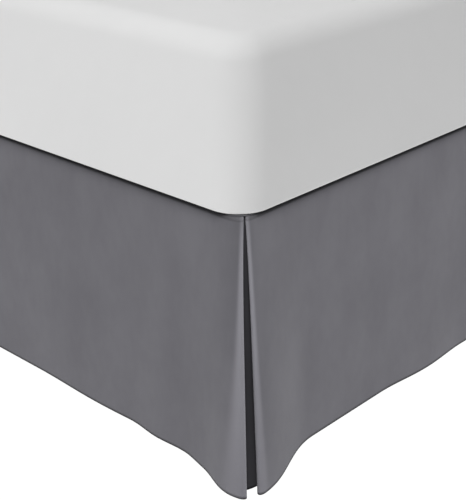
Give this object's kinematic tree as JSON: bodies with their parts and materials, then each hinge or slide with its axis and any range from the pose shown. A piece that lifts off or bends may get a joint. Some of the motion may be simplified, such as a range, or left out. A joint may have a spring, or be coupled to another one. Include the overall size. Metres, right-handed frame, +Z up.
{
  "type": "bed skirt on a box spring and mattress",
  "caption": "Tailored bed skirt with smooth drops and inverted corner pleats, hung between the box spring and mattress of a bed on plain legs.",
  "frame": {"origin": "on the floor, in the middle of the object's outline seen from above", "axes": "+Z up, +Y from the foot of the bed to its head, +X to the right seen from the foot"},
  "size_m": [1.6142, 2.0755, 0.6263],
  "materials": {
    "skirt_cloth": "charcoal grey brushed microfibre, plain weave, matt with a faint sheen",
    "white_sheet": "smooth white fitted sheet, fine plain weave, matt",
    "ticking": "pale grey woven ticking",
    "leg_black": "black stained wood, satin"
  },
  "bodies": {
    "root": {"mattress": "white_sheet", "box_spring": "ticking", "deck": "skirt_cloth", "drop_left": "skirt_cloth", "drop_right": "skirt_cloth", "drop_foot": "skirt_cloth", "pleat_left": "skirt_cloth", "pleat_right": "skirt_cloth", "leg_foot_left": "leg_black", "leg_foot_right": "leg_black", "leg_middle_left": "leg_black", "leg_middle_right": "leg_black", "leg_head_left": "leg_black", "leg_head_right": "leg_black"}
  },
  "joints": []
}
